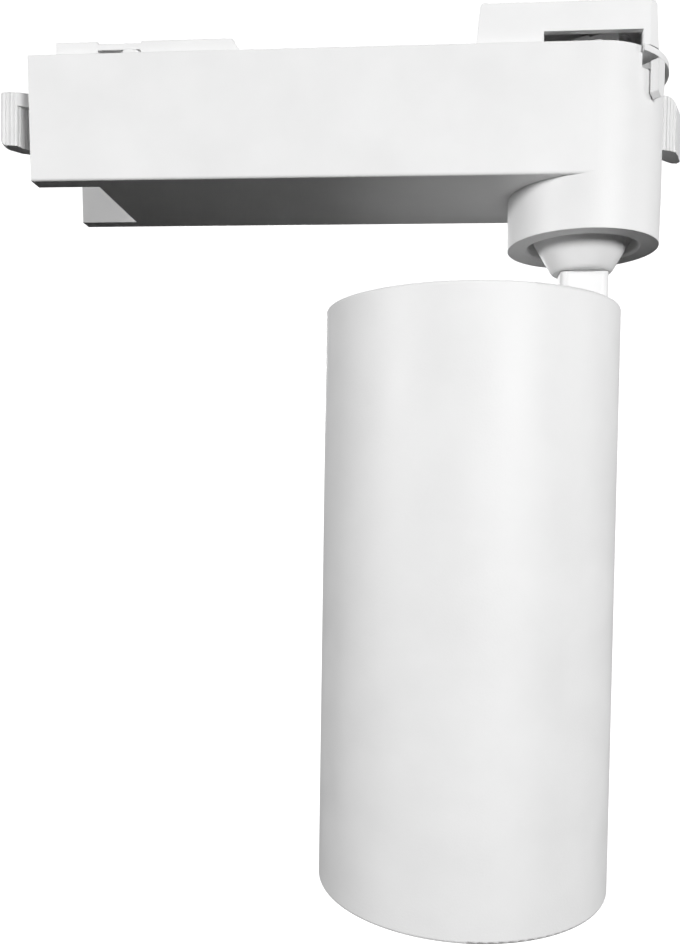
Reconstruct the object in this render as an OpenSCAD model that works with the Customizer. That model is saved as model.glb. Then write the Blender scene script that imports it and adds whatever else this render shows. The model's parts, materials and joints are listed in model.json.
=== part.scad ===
// Track spotlight: a driver box that locks into a track, a swivel and a tilting cylindrical lamp.
// Millimetres, +Z up. The origin is on the swivel axis, at the face that seats against the track.
// -X runs along the driver box to its forked end, and -Y is the front.

/* [Driver box] */
// Width of the box, front to back, and diameter of the barrel
box_w = 36; // [34:0.5:38]
// Height of the box below the track
box_h = 29.1; // [28.5:0.1:30]
// Distance from the swivel axis to the forked end
box_reach = 131; // [129:0.5:132]
// Thickness of the box's walls
wall = 2.2; // [2:0.1:2.4]
// Thickness of the fork's two cheeks
cheek = 4.5; // [4:0.1:5]
// Length of the open notch in the fork
notch_l = 15.3; // [14:0.1:15.5]

/* [Barrel] */
// How far the barrel hangs below the box
barrel_drop = 12; // [11.5:0.1:13]
// Radius of the barrel at its lower edge
barrel_foot_r = 17.8; // [17.4:0.1:18]
// Radius of the mouth that the swivel cone turns in
mouth_r = 13.1; // [12.8:0.1:13.4]

/* [Track side] */
// Width of the blocks that enter the track
block_w = 31; // [30:0.5:31]
// Height of the low lock blocks
low_h = 3.9; // [3.6:0.1:4.2]
// Height of the contact block
tall_h = 10.1; // [9.8:0.1:10.5]
// Height of the contact window
window_h = 3.5; // [3:0.1:3.6]

/* [Levers] */
// Height of each lever's grip
lever_h = 12.8; // [12.5:0.1:13]
// Depth of the levers' upper face below the track
lever_top = 5.7; // [5.4:0.1:5.8]
// Width of one rib and one groove on the grips
rib_pitch = 1; // [0.9:0.1:1.1]

/* [Swivel] */
// Radius of the cone's collar
cone_r = 11.6; // [11.2:0.1:12]
// Radius of the cone's lower end
cone_tip_r = 7.5; // [7.2:0.1:7.8]
// Width of the arm, seen from the front
arm_w = 11.5; // [11.2:0.1:11.7]
// Thickness of the arm, front to back
arm_t = 8; // [7.6:0.1:8]

/* [Lamp] */
// Radius of the lamp's tube
lamp_r = 35.5; // [35:0.1:36]
// Length of the lamp's tube
lamp_l = 139.8; // [138:0.1:142]
// Wall of the lamp's tube
lamp_wall = 2.2; // [2:0.1:2.4]
// Distance from the swivel axis to the lamp's axis
lamp_offset = 26.5; // [26.2:0.1:26.8]
// Depth of the lamp's upper end below the track
lamp_drop = 56.7; // [56:0.1:58]
// Depth of the tilt hinge below the lamp's upper end
hinge_drop = 18.2; // [17.5:0.1:19]

/* [Hidden] */

$fn = 96;

white = [0.93, 0.93, 0.92];
painted = [0.95, 0.95, 0.94];
board_green = [0.10, 0.36, 0.18];
steel = [0.72, 0.73, 0.75];
silver = [0.85, 0.86, 0.87];
black = [0.08, 0.08, 0.09];
brass = [0.80, 0.65, 0.32];
aluminium = [0.78, 0.79, 0.80];

// Clearances: a gap that slides, a running fit on a shaft, and a seam between two fixed parts
slide_gap = 0.3;
run_gap = 0.05;
seam = 0.1;
// How far a cutting shape runs past the face that it cuts
past = 1;

// Box levels
half_w = box_w / 2;
inner_half_w = half_w - wall;
cover_t = 1.5;
floor_z = -box_h + wall - 0.2;
edge_r = 0.6;
end_draft = 0.5;
bay_x = -99.5;
partition_t = 1.6;
notch_x = notch_l - box_reach;

// Barrel levels
barrel_z = -box_h - barrel_drop;
barrel_in_r = half_w - wall;
web_z = -32.3;
web_t = 2.8;
ledge_r = 14;
shelf_z = -21;
shelf_t = 2.2;
rim_notch_x = 9.9;
rim_notch_z = -4.7;
rim_slot_from = -12;
rim_slot_to = 58;

// Low lock blocks: x where each one starts and ends
block_a = [-125.7, -115.5];
block_b = [-105.2, -83];
block_toe = 2.1;
gap_floor_z = -0.4;
bridge_z = 1.9;
bridge_top_z = 3.4;
cover_end_x = -31;

// Driver board, on four bosses
boss_h = 2.2;
pcb_z = floor_z + boss_h;
pcb_t = 1.6;
pcb_top = pcb_z + pcb_t;
boss_x = [-93, -24];
boss_y = [-11, 11];

// Contact block
tall_x = [-27.3, 13.9];
tall_draft = [0.9, 0.7];
tall_wall = 1.5;
tall_end_wall = 2.3;
window_x = [-12, 9.9];
corner_proud = 0.2;
flange_r = 19.1;

// Lock levers
left_pivot_x = -110.4;
lever_z = -lever_top - lever_h;
left_rest = 18;
spindle_r = 2.9;
hub_r = 5.5;
foot_r = 2;
tongue_z = 0.3;
tongue_t = 0.7;
tongue_r = 14.3;
tongue_tip_r = 2;
left_tongue_rest = 10;
flute_r = 0.32;
rib_r = 0.32;

// Selector
ring_z = -4.5;
ring_t = 1.7;
ring_r = 15.4;
ring_bore_r = 11.5;
ring_lip_r = 18;
ring_lip_from = -46;
ring_lip_to = 22;
tab_azimuth = -45;
tab_r = [18.3, 20.4];
tab_w = 2.5;
tab_bottom_z = -11.1;
inset = 0.1;

// Swivel levels
stub_r = 4.9;
cable_r = 2.4;
cone_top_z = -33.4;
collar_z = -39.1;
cone_bottom_z = -47;
stub_top_z = -21.7;
nut_t = 3.4;
nut_z = -25.7;
stop_r = 9;
lead_r = 0.6;

// Lamp levels
lamp_x = -lamp_offset;
lamp_top_z = -lamp_drop;
lamp_bottom_z = lamp_top_z - lamp_l;
lamp_in_r = lamp_r - lamp_wall;
rim_r = 0.8;
arm_x = 0.42;
hinge_z = lamp_top_z - hinge_drop;
hinge_r = 2.5;
slot_half = arm_t / 2 + 2;
slot_bottom_z = hinge_z - arm_w / 2 - 1;
cap_t = 2.5;
cap_z = lamp_top_z - 0.4 - cap_t;
ear_y = [4.8, 7.8];
ear_x = [-9, 4.9];
ear_low_z = hinge_z - 6.5;
cap_screw_x = -16;
cap_screw_y = [-4.5, 4.5];
sink_z = -139;
sink_plate = 6;
sink_h = 42;
board_t = 1.6;
led_z = sink_z - board_t;
holder_t = 4.4;
holder_z = sink_z - holder_t;
holder_screw_x = [-19, 19];
lead_hole = [-22, 3.3];
glass_z = -191.5;
glass_t = 2;
bezel_z = -195;

// ---------------------------------------------------------------- shared shapes

// A rectangle with rounded corners, centred
module round_rect(w, h, r) {
    square([w - 2 * r, h], center = true);
    square([w, h - 2 * r], center = true);
    for (sx = [-1, 1], sy = [-1, 1]) {
        translate([sx * (w / 2 - r), sy * (h / 2 - r)]) circle(r);
    }
}

// A box given by its low and high corners
module span(low, high) {
    translate(low) cube(high - low);
}

// A ring or washer standing on height z
module ring(r_out, r_in, z, t) {
    translate([0, 0, z]) difference() {
        cylinder(r = r_out, h = t);
        translate([0, 0, -past]) cylinder(r = r_in, h = t + 2 * past);
    }
}

// A wire through a list of points
module wire(points, r) {
    for (i = [0 : len(points) - 2]) {
        run = points[i + 1] - points[i];
        length = norm(run);
        translate(points[i]) rotate([0, acos(run.z / length), atan2(run.y, run.x)]) {
            cylinder(r = r, h = length, $fn = 24);
        }
        if (i > 0) {
            translate(points[i]) sphere(r = r * 1.1, $fn = 24);
        }
    }
}

// A pan-head screw with a cross recess, head downwards at the origin, shank towards -Z
module screw(head_r, head_t, shank_r, shank_l) {
    difference() {
        cylinder(r = head_r, h = head_t, $fn = 32);
        for (a = [0, 90]) {
            rotate(a) translate([-head_r * 0.6, -0.25, head_t * 0.5]) cube([head_r * 1.2, 0.5, head_t]);
        }
    }
    translate([0, 0, -shank_l]) cylinder(r = shank_r, h = shank_l, $fn = 32);
}

// A wedge of a disc between two azimuths, under 180 degrees apart
module sector(r, from, to) {
    intersection() {
        circle(r);
        polygon([
            [0, 0],
            2 * r * [cos(from), sin(from)],
            2 * r * [cos((from + to) / 2), sin((from + to) / 2)],
            2 * r * [cos(to), sin(to)]
        ]);
    }
}

// Two opposite lock tongues about the Z axis; the first points to azimuth a
module tongues(a) {
    for (turn = [0, 180]) {
        rotate(a + turn) {
            translate([0, -tongue_tip_r, 0]) cube([tongue_r, 2 * tongue_tip_r, tongue_t]);
            translate([tongue_r, 0, 0]) cylinder(r = tongue_tip_r, h = tongue_t);
        }
    }
}

// ---------------------------------------------------------------- adapter

// Cross-section of the box: square on the track side, rounded below
module box_section() {
    translate([0, -box_h / 2]) round_rect(box_w, box_h, edge_r);
    translate([-half_w, -box_h / 2]) square([box_w, box_h / 2]);
}

module box_solid() {
    intersection() {
        translate([-box_reach - end_draft, 0, 0]) rotate([90, 0, 90]) {
            linear_extrude(box_reach + end_draft) box_section();
        }
        rotate([90, 0, 0]) translate([0, 0, -box_w]) linear_extrude(2 * box_w) {
            polygon([
                [-box_reach - end_draft, past], [-box_reach - end_draft, 0],
                [-box_reach + end_draft, -box_h - past], [past, -box_h - past], [past, past]
            ]);
        }
    }
    translate([0, 0, -box_h]) cylinder(r = half_w, h = box_h);
    translate([0, 0, barrel_z]) cylinder(r1 = barrel_foot_r, r2 = half_w, h = barrel_drop);
}

module adapter_housing() color(white) {
    difference() {
        box_solid();
        // Fork notch, open at the end and below, and the lever bay behind it
        span([-box_reach - past, cheek - half_w, -box_h - past], [notch_x, half_w - cheek, past]);
        span([-box_reach + wall, -inner_half_w, -cover_t - seam], [notch_x, inner_half_w, past]);
        span([notch_x - seam, -inner_half_w, floor_z], [bay_x - partition_t, inner_half_w, past]);
        span([-box_reach - past, -inner_half_w, -cover_t - seam], [0, inner_half_w, past]);
        // Driver bay
        span([bay_x, -inner_half_w, floor_z], [-half_w, inner_half_w, past]);
        // Barrel: upper bore, nut well, web bore and mouth
        translate([0, 0, shelf_z]) cylinder(r = barrel_in_r, h = -shelf_z + past);
        translate([0, 0, web_z + web_t]) cylinder(r = ledge_r, h = box_h);
        translate([0, 0, web_z - past]) cylinder(r = 6.6, h = box_h);
        translate([0, 0, barrel_z - past]) cylinder(r = mouth_r, h = web_z - barrel_z + past);
        translate([0, 0, barrel_z - 0.01]) cylinder(r1 = mouth_r + 0.5, r2 = mouth_r, h = 0.6);
        // Rim notch for the selector and slot for the right lever
        span([rim_notch_x, -half_w - past, rim_notch_z], [half_w + past, half_w + past, past]);
        translate([0, 0, lever_z - slide_gap]) linear_extrude(box_h) {
            sector(half_w + past, rim_slot_from, rim_slot_to);
        }
        // Wire passages between the bays
        span([-half_w - past, -4, -12], [-14, 4, -6]);
        span([bay_x - partition_t - past, 6, -12], [bay_x + past, 12, -8]);
    }
    // Foot bearing of the left lever
    translate([left_pivot_x, 0, floor_z]) difference() {
        cylinder(r = 4.5, h = lever_z - slide_gap - floor_z);
        translate([0, 0, 2]) cylinder(r = foot_r + run_gap, h = box_h);
    }
    // Bosses under the driver board
    for (x = boss_x, y = boss_y) {
        translate([x, y, floor_z]) difference() {
            cylinder(r = 2.4, h = boss_h);
            translate([0, 0, 0.4]) cylinder(r = 0.9, h = 4);
        }
    }
    // Post that ends the swivel's travel
    translate([-stop_r - 2.2, 0, web_z + web_t]) cylinder(r = 0.8, h = 3.4);
}

module top_cover() color(white) {
    x_low = -box_reach + end_draft;
    half = inner_half_w - seam;
    difference() {
        union() {
            span([x_low, -half, -cover_t], [cover_end_x, half, 0]);
            span([block_a[0], -block_w / 2, 0], [block_a[1], block_w / 2, low_h]);
            rotate([90, 0, 0]) translate([0, 0, -block_w / 2]) linear_extrude(block_w) {
                polygon([
                    [block_b[0], -cover_t / 2], [block_b[0], low_h - 0.3], [block_b[0] + 0.3, low_h],
                    [block_b[1] - 0.6, low_h], [block_b[1], low_h - 0.6],
                    [block_b[1] + block_toe, 0], [block_b[1] + block_toe, -cover_t / 2]
                ]);
            }
            span(
                [block_a[1] - past, -block_w / 2, bridge_z],
                [block_b[0] + past, block_w / 2, bridge_top_z]
            );
        }
        // Gap that the lock tongues swing in
        span([block_a[1], -half - past, gap_floor_z], [block_b[0], half + past, bridge_z]);
        translate([left_pivot_x, 0, gap_floor_z]) linear_extrude(1.25 - gap_floor_z) {
            for (turn = [0, 180]) {
                rotate(turn) sector(tongue_r + tongue_tip_r + slide_gap, 182, 265);
            }
        }
        translate([left_pivot_x, 0, -cover_t - past]) {
            cylinder(r = spindle_r + run_gap, h = cover_t + 2 * past);
        }
    }
    // Rounded stops beside the tongues
    for (side = [-1, 1]) {
        translate([left_pivot_x - side * 2.7, side * 14.3, 0]) {
            cylinder(r = 2.2, h = 1.7);
            translate([0, 0, gap_floor_z - past / 2]) cylinder(r = 1.2, h = past);
        }
    }
    // Snap tabs inside the walls
    for (x = [-90, -45], side = [-1, 1]) {
        translate([x, side * (half - 0.6), -cover_t - 1.6]) cube([8, 1.2, 3.2], center = true);
    }
}

module contact_head() color(white) {
    half = inner_half_w - seam;
    difference() {
        union() {
            translate([0, 0, -cover_t]) linear_extrude(cover_t) {
                translate([cover_end_x + seam, -half]) square([-cover_end_x - seam, 2 * half]);
                circle(half);
                intersection() {
                    circle(flange_r);
                    translate([rim_notch_x + seam, -half_w * 2]) square(half_w * 4);
                }
            }
            // Contact block, its right corners trimmed to the flange
            intersection() {
                rotate([90, 0, 0]) translate([0, 0, -block_w / 2]) linear_extrude(block_w) {
                    polygon([
                        [tall_x[0], 0], [tall_x[1], 0], [tall_x[1] - tall_draft[1], tall_h - 0.5],
                        [tall_x[1] - tall_draft[1] - 0.5, tall_h],
                        [tall_x[0] + tall_draft[0] + 0.5, tall_h],
                        [tall_x[0] + tall_draft[0], tall_h - 0.5]
                    ]);
                }
                translate([0, 0, -past]) linear_extrude(tall_h + 2 * past) {
                    circle(flange_r + corner_proud);
                    translate([tall_x[0] - past, -box_w / 2]) square([past - tall_x[0], box_w]);
                }
            }
        }
        // Rotor chamber, windows front and back, and the spindle's hole
        span(
            [tall_x[0] + tall_end_wall, tall_wall - block_w / 2, 0],
            [tall_x[1] - tall_end_wall, block_w / 2 - tall_wall, tall_h - tall_wall]
        );
        span([window_x[0], -block_w, 0], [window_x[1], block_w, window_h]);
        translate([0, 0, -cover_t - past]) cylinder(r = spindle_r + run_gap, h = cover_t + 2 * past);
    }
}

module lever_shelf() color(white) {
    difference() {
        translate([0, 0, shelf_z]) cylinder(r = barrel_in_r - seam, h = shelf_t);
        translate([0, 0, shelf_z - past]) cylinder(r = foot_r + run_gap, h = shelf_t + 2 * past);
        span([-barrel_in_r, -4, shelf_z - past], [-8, 4, 0]);
    }
}

// ---------------------------------------------------------------- driver

module driver_pcb() color(board_green) {
    difference() {
        span([-96, -13.5, pcb_z], [-21, 13.5, pcb_top]);
        for (x = boss_x, y = boss_y) {
            translate([x, y, pcb_z - past]) cylinder(r = 1.1, h = pcb_t + 2 * past);
        }
    }
}

module pcb_screws() color(steel) {
    for (x = boss_x, y = boss_y) {
        translate([x, y, pcb_top]) screw(2, 1.2, 0.85, 3);
    }
}

module transformer_core() color(black) {
    difference() {
        span([-68, -9, pcb_top], [-48, 9, pcb_top + 14]);
        span([-65, -6.5, pcb_top - past], [-51, 6.5, pcb_top + 20]);
    }
    span([-60.5, -6.5, pcb_top + 3], [-55.5, 6.5, pcb_top + 11]);
}

module transformer_winding() color([0.90, 0.75, 0.25]) {
    difference() {
        span([-64.7, -5.9, pcb_top], [-51.3, 5.9, pcb_top + 13.6]);
        span([-60.6, -8, pcb_top + 2.9], [-55.4, 8, pcb_top + 11.1]);
    }
}

module electrolytic_capacitors() color(black) {
    for (spot = [[-38, -6.5, 5, 15], [-38, 6, 4, 12.5], [-71.8, 8.5, 3, 11]]) {
        translate([spot[0], spot[1], pcb_top]) cylinder(r = spot[2], h = spot[3], $fn = 48);
    }
}

module film_capacitor() color([0.75, 0.62, 0.20]) {
    translate([-83, -7, pcb_top + 5]) rotate([90, 0, 90]) {
        linear_extrude(9, center = true) round_rect(7, 10, 1);
    }
}

module emi_choke() color([0.72, 0.36, 0.16]) {
    translate([-81.5, 5.5, pcb_top]) {
        cylinder(r = 5, h = 1.4);
        translate([0, 0, 2.9]) rotate_extrude() translate([4, 0]) circle(2, $fn = 32);
    }
}

module bridge_rectifier() color(black) {
    span([-76, -4, pcb_top], [-71.5, 2, pcb_top + 3]);
}

module input_fuse() color([0.35, 0.25, 0.18]) {
    translate([-74, -9, pcb_top]) cylinder(r = 3, h = 7, $fn = 48);
}

module terminal(x, ways) {
    difference() {
        span([x - 3.5, -ways * 2.5, pcb_top], [x + 3.5, ways * 2.5, pcb_top + 8]);
        for (i = [0 : ways - 1]) {
            translate([x, (i - (ways - 1) / 2) * 5, pcb_top + 2]) cylinder(r = 1.6, h = 10, $fn = 32);
        }
    }
}

module input_terminal() color([0.20, 0.45, 0.25]) {
    terminal(-91.5, 3);
}

module output_terminal() color([0.20, 0.45, 0.25]) {
    terminal(-27, 2);
}

module input_wires() {
    colours = [[0.45, 0.25, 0.12], [0.20, 0.35, 0.70], [0.30, 0.60, 0.25]];
    for (i = [0 : 2]) {
        y = (i - 1) * 5;
        near_y = (i - 1) * 2.2;
        bend = i == 1 ? [] : [[-22, y, -5]];
        color(colours[i]) wire(concat(
            [[-91.5, y, pcb_top + 3], [-91.5, y, -5]], bend,
            [[-22, near_y, -5], [-22, near_y, -8.5], [-15.2, near_y, -8.5]]
        ), 0.75);
    }
}

module output_wires() {
    colours = [[0.75, 0.12, 0.10], [0.10, 0.10, 0.10]];
    for (i = [0, 1]) {
        y = i * 5 - 2.5;
        color(colours[i]) wire([
            [-27, y, pcb_top + 3], [-27, y, -10.8], [-10.5, y, -10.8], [-10.5, y, -20]
        ], 0.7);
    }
}

// Three pads, one for each circuit, on a small block that hangs from the contact head
module circuit_pads() color(brass) {
    for (a = [165, 180, 195]) {
        rotate(a) span([9.6, -0.9, -cover_t - 0.6], [11, 0.9, -cover_t]);
    }
}

// ---------------------------------------------------------------- left lock

// Hub of either lever, a little taller than the arm
module lever_hub() {
    translate([0, 0, lever_z + 0.2]) cylinder(r = hub_r, h = lever_h + 0.3);
}

// A fine upright groove cut into a grip
module flute(spot) {
    translate([spot.x, spot.y, lever_z - past]) cylinder(r = flute_r, h = lever_h + 2 * past, $fn = 24);
}

// Outline of the left lever, with the arm along -X and a thumb block at its tip
module left_lever_outline() {
    polygon([
        [0, -2.6], [-19, -2.6], [-25, -3], [-29, -3.3], [-31, -3], [-32.3, -2.3],
        [-32.8, -1.3], [-30.7, 0.2], [-28.3, 1.7], [-26.8, 1.8], [-19, 2.6], [0, 2.6]
    ]);
}

module left_lock_lever() color(white) {
    lintel = 3.2;
    dish = [[-28.3, -2.3], [-27, -1.3], [-25, -0.9]];
    toe_r = 2;
    translate([left_pivot_x, 0, 0]) rotate(left_rest) {
        difference() {
            union() {
                translate([0, 0, lever_z]) linear_extrude(lever_h) left_lever_outline();
                lever_hub();
            }
            translate([0, 0, lever_z - past]) cylinder(r = spindle_r + run_gap, h = lever_h + 2 * past);
            // Dished finger grip under the lintel
            translate([0, 0, lever_z - past]) linear_extrude(lever_h - lintel + past) {
                polygon(concat([[-29, -3.8]], dish, [[-19.4, -0.9], [-18, -3.8]]));
            }
            // Flutes down the thumb block
            for (spot = [[-31.4, -2.95], [-30.4, -3.25], [-29.4, -3.4]]) {
                flute(spot);
            }
            // Rounded lower corner at the tip
            translate([-32.8, past - 4, lever_z]) rotate([-90, 0, 0]) difference() {
                translate([-past, -toe_r, 0]) cube([toe_r + past, toe_r + past, 6]);
                translate([toe_r, -toe_r, -past]) cylinder(r = toe_r, h = 8);
            }
        }
        // Upright ribs in the dish: three down its slope and five along its floor
        slope = [dish[0], dish[1], [-26, -1.1]];
        level = [for (i = [0 : 4]) [dish[2].x + i * rib_pitch, dish[2].y]];
        for (spot = concat(slope, level)) {
            translate([spot.x, spot.y, lever_z]) cylinder(r = rib_r, h = lever_h - lintel, $fn = 24);
        }
    }
}

module left_lock_spindle() color(white) {
    translate([left_pivot_x, 0, 0]) {
        translate([0, 0, tongue_z]) tongues(-90 - left_tongue_rest);
        translate([0, 0, lever_z]) cylinder(r = spindle_r, h = tongue_z + tongue_t - lever_z);
        translate([0, 0, lever_z - 5]) cylinder(r = foot_r, h = 5);
    }
}

// ---------------------------------------------------------------- right lock and contacts

// Outline of the right lever, with the arm along +X and its grip swept back
module right_lever_outline() {
    polygon([
        [0, -2.6], [18, -2.9], [18.8, -2.8], [20, -2.3], [21.4, -1.3], [22.5, 0.9], [24.1, 4.9],
        [23.6, 6], [22.3, 5.8], [20.8, 4.7], [19.3, 3.4], [16, 2.6], [0, 2.6]
    ]);
}

module right_lock_lever() color(white) {
    corner_r = 2.2;
    difference() {
        union() {
            translate([0, 0, lever_z]) linear_extrude(lever_h) right_lever_outline();
            lever_hub();
        }
        translate([0, 0, lever_z - past]) cylinder(r = spindle_r + run_gap, h = lever_h + 2 * past);
        // Flutes on the finger face
        for (spot = [[18.6, -3], [19.5, -2.7], [20.4, -2.2], [21.2, -1.6]]) {
            flute(spot);
        }
        // Rounded upper corner along the outer face
        translate([21.4, -1.3, -lever_top]) rotate(66.5) difference() {
            translate([-4, -past, -corner_r]) cube([14, corner_r + past, corner_r + past]);
            translate([-5, corner_r, -corner_r]) rotate([0, 90, 0]) cylinder(r = corner_r, h = 16);
        }
    }
}

module right_lock_spindle() color(white) {
    translate([0, 0, tongue_z]) tongues(-90);
    translate([0, 0, lever_z]) cylinder(r = spindle_r, h = 7 - lever_z);
    translate([0, 0, shelf_z + 0.2]) cylinder(r = foot_r, h = lever_z - shelf_z);
}

// The rotor: a drum with a low and a high ramped wing, and the same again behind
module contact_rotor() color(white) {
    difference() {
        union() {
            translate([0, 0, 1.4]) cylinder(r = 5.6, h = 5);
            for (turn = [0, 180]) {
                rotate(turn) {
                    translate([0, -3, 0]) rotate([90, 0, 0]) linear_extrude(7.9) polygon([
                        [-5.1, 1.5], [-5.1, 3.9], [-1.5, 4.8], [-1.1, 4.5], [-1.1, 1.5]
                    ]);
                    translate([0, -3, 0]) rotate([90, 0, 0]) linear_extrude(7.7) polygon([
                        [-1.3, 1.5], [-1.3, 4.3], [2.6, 5.5], [5.2, 5.5], [5.6, 4.4], [5.6, 1.5]
                    ]);
                }
            }
        }
        cylinder(r = spindle_r + run_gap, h = 12);
    }
}

// Bowed silver strips beside the rotor's wings
module contact_blades() color(silver) {
    bow_r = 1.8;
    strip_t = 0.35;
    for (turn = [0, 180]) {
        rotate(turn) translate([7.45, -5.2, 5.2]) rotate([90, 0, 0]) linear_extrude(1.6) {
            difference() {
                circle(bow_r);
                circle(bow_r - strip_t);
                translate([-4, -8]) square(8);
            }
            translate([-bow_r, -2.4]) square([strip_t, 2.4]);
            translate([bow_r - strip_t, -1.2]) square([strip_t, 1.2]);
        }
    }
}

// ---------------------------------------------------------------- selector

module selector_ring() color(white) {
    translate([0, 0, ring_z]) linear_extrude(ring_t) {
        difference() {
            union() {
                circle(ring_r);
                sector(ring_lip_r, ring_lip_from, ring_lip_to);
            }
            circle(ring_bore_r);
        }
    }
    rotate(tab_azimuth) {
        // Neck, a little smaller than the tab and the ring that it joins
        span(
            [ring_r - 1, inset - tab_w / 2, ring_z + inset],
            [tab_r[1] - inset, tab_w / 2 - inset, ring_z + ring_t - inset]
        );
        translate([tab_r[0], 0, 0]) rotate([90, 0, 90]) linear_extrude(tab_r[1] - tab_r[0]) {
            polygon([
                [-tab_w / 2, ring_z + ring_t], [-tab_w / 2, tab_bottom_z + 1.2], [0, tab_bottom_z],
                [tab_w / 2, tab_bottom_z + 1.2], [tab_w / 2, ring_z + ring_t]
            ]);
        }
    }
}

module selector_wiper() color(brass) {
    rotate(165) span([9.8, -0.8, ring_z + 0.4], [ring_bore_r - 0.04, 0.8, ring_z + 0.8]);
    rotate(165) span([9.8, -0.8, ring_z + 0.8], [10.2, 0.8, -cover_t - 0.75]);
}

// ---------------------------------------------------------------- swivel

module swivel_bush() color(black) {
    ring(6.5, stub_r + run_gap, web_z, web_t);
    ring(8, stub_r + run_gap, web_z + web_t, 0.8);
}

module friction_washer() color([0.30, 0.30, 0.32]) {
    ring(11, stub_r + 0.2, web_z - 0.9, 0.8);
}

module stop_washer() color(steel) {
    translate([0, 0, nut_z - 2.4]) linear_extrude(1) {
        difference() {
            union() {
                circle(7.6);
                translate([0, -0.8]) square([stop_r + 3, 1.6]);
            }
            circle(stub_r + seam / 2);
        }
    }
}

module spring_washer() color(steel) {
    ring(7.4, stub_r + seam / 2, nut_z - 1.3, 1.2);
}

module lock_nut() color(steel) {
    translate([0, 0, nut_z]) difference() {
        cylinder(r = 7.5, h = nut_t, $fn = 6);
        translate([0, 0, -past]) cylinder(r = stub_r + seam / 2, h = nut_t + 2 * past);
    }
}

module swivel_cone() color(white) {
    tip_bevel = 0.7;
    rotate_extrude() polygon([
        [stub_r + seam / 2, cone_top_z], [cone_r, cone_top_z], [cone_r, collar_z],
        [cone_tip_r, cone_bottom_z + tip_bevel], [cone_tip_r - tip_bevel, cone_bottom_z],
        [stub_r + seam / 2, cone_bottom_z]
    ]);
}

// The arm: a hollow threaded stub, a cast bar and a rounded hinge eye
module lamp_arm() color(painted) {
    bar_top_z = cone_bottom_z - seam;
    difference() {
        union() {
            translate([0, 0, bar_top_z]) cylinder(r = stub_r, h = stub_top_z - bar_top_z);
            translate([arm_x, 0, hinge_z]) {
                linear_extrude(bar_top_z - hinge_z) round_rect(arm_w, arm_t, 2);
                rotate([90, 0, 0]) cylinder(r = arm_w / 2, h = arm_t, center = true);
            }
        }
        translate([arm_x, 0, hinge_z]) rotate([90, 0, 0]) {
            cylinder(r = hinge_r + run_gap, h = arm_t + 2 * past, center = true);
        }
        translate([0, 0, hinge_z + 6]) cylinder(r = cable_r, h = 60);
        span([-arm_w, -1.6, hinge_z + 6], [0, 1.6, hinge_z + 9.5]);
    }
}

module arm_leads() {
    colours = [[0.75, 0.12, 0.10], [0.10, 0.10, 0.10]];
    exit_z = hinge_z + 7.5;
    for (i = [0, 1]) {
        y = i * 1.8 - 0.9;
        color(colours[i]) wire([[0, y, stub_top_z], [0, y, exit_z], [-5, y, exit_z]], lead_r);
    }
}

// ---------------------------------------------------------------- lamp

module lamp_body() color(painted) {
    difference() {
        translate([lamp_x, 0, lamp_bottom_z]) difference() {
            union() {
                translate([0, 0, rim_r]) cylinder(r = lamp_r, h = lamp_l - 2 * rim_r, $fn = 128);
                cylinder(r = lamp_r - rim_r, h = lamp_l, $fn = 128);
                for (z = [rim_r, lamp_l - rim_r]) {
                    translate([0, 0, z]) rotate_extrude($fn = 128) {
                        translate([lamp_r - rim_r, 0]) circle(rim_r, $fn = 48);
                    }
                }
            }
            translate([0, 0, -past]) cylinder(r = lamp_in_r, h = lamp_l + 2 * past, $fn = 128);
        }
        // Slot that the arm swings through
        span([arm_x, -slot_half, slot_bottom_z], [lamp_r, slot_half, 0]);
    }
}

module rear_cap() color(painted) {
    difference() {
        translate([lamp_x, 0, cap_z]) cylinder(r = lamp_in_r - seam, h = cap_t, $fn = 128);
        span([arm_x - arm_w / 2 - 1, -slot_half, cap_z - past], [lamp_r, slot_half, 0]);
        for (y = cap_screw_y) {
            translate([cap_screw_x, y, cap_z - past]) cylinder(r = 1.35, h = cap_t + 2 * past);
        }
    }
}

module cap_screws() color(steel) {
    for (y = cap_screw_y) {
        translate([cap_screw_x, y, cap_z + cap_t]) screw(2.2, 1.2, 1.25, 5);
    }
}

module hinge_bracket() color(steel) {
    difference() {
        union() {
            span([ear_x[0] - 2.5, -ear_y[1], ear_low_z], [ear_x[0], ear_y[1], cap_z]);
            for (side = [-1, 1]) {
                translate([0, side * (ear_y[0] + ear_y[1]) / 2, 0]) rotate([90, 0, 0]) {
                    linear_extrude(ear_y[1] - ear_y[0], center = true) polygon([
                        [ear_x[0] - 1, ear_low_z], [ear_x[1] - 3, ear_low_z],
                        [ear_x[1], ear_low_z + 3], [ear_x[1], hinge_z + 4],
                        [-2, cap_z - 2], [ear_x[0] - 1, cap_z - 2]
                    ]);
                }
            }
            span([-21, -ear_y[1], cap_z - 3], [ear_x[0], ear_y[1], cap_z]);
        }
        translate([arm_x, 0, hinge_z]) rotate([90, 0, 0]) {
            cylinder(r = hinge_r + run_gap, h = lamp_r, center = true);
        }
        for (y = cap_screw_y) {
            translate([cap_screw_x, y, cap_z - 5]) cylinder(r = 1.3, h = 10);
        }
    }
}

module hinge_bolt() color(steel) {
    translate([arm_x, 0, hinge_z]) rotate([90, 0, 0]) {
        translate([0, 0, -10.4]) cylinder(r = hinge_r, h = 10.4 + ear_y[1]);
        translate([0, 0, ear_y[1]]) difference() {
            cylinder(r = 3.8, h = 2);
            translate([0, 0, 1]) cylinder(r = 1.5, h = 2, $fn = 6);
        }
    }
}

module hinge_nut() color(steel) {
    translate([arm_x, ear_y[1], hinge_z]) rotate([-90, 0, 0]) difference() {
        rotate(30) cylinder(r = 4, h = 2.4, $fn = 6);
        translate([0, 0, -past]) cylinder(r = hinge_r + run_gap, h = 5);
    }
}

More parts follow.
